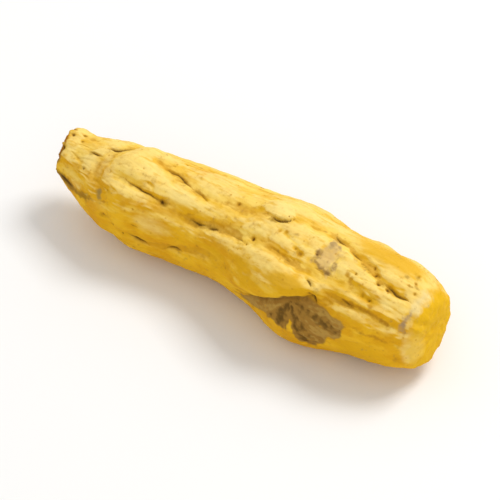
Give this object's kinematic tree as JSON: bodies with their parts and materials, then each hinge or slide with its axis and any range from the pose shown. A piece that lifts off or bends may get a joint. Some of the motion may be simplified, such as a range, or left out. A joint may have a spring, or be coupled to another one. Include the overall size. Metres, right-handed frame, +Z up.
{
  "type": "dried turmeric root",
  "caption": "Dried turmeric finger: a bent, wrinkled yellow rhizome with a narrow broken neck, a blunt end, and a dark branch scar under a lip. Lies on a surface.",
  "frame": {"origin": "on the surface the root lies on, under the middle of its box", "axes": "+X along the root from its broken neck to its blunt end, +Z up, and -Y the front, with the branch scar"},
  "size_m": [0.0498, 0.0148, 0.0127],
  "materials": {
    "turmeric_skin": "matte"
  },
  "bodies": {
    "root": {"rhizome": "turmeric_skin"}
  },
  "joints": []
}
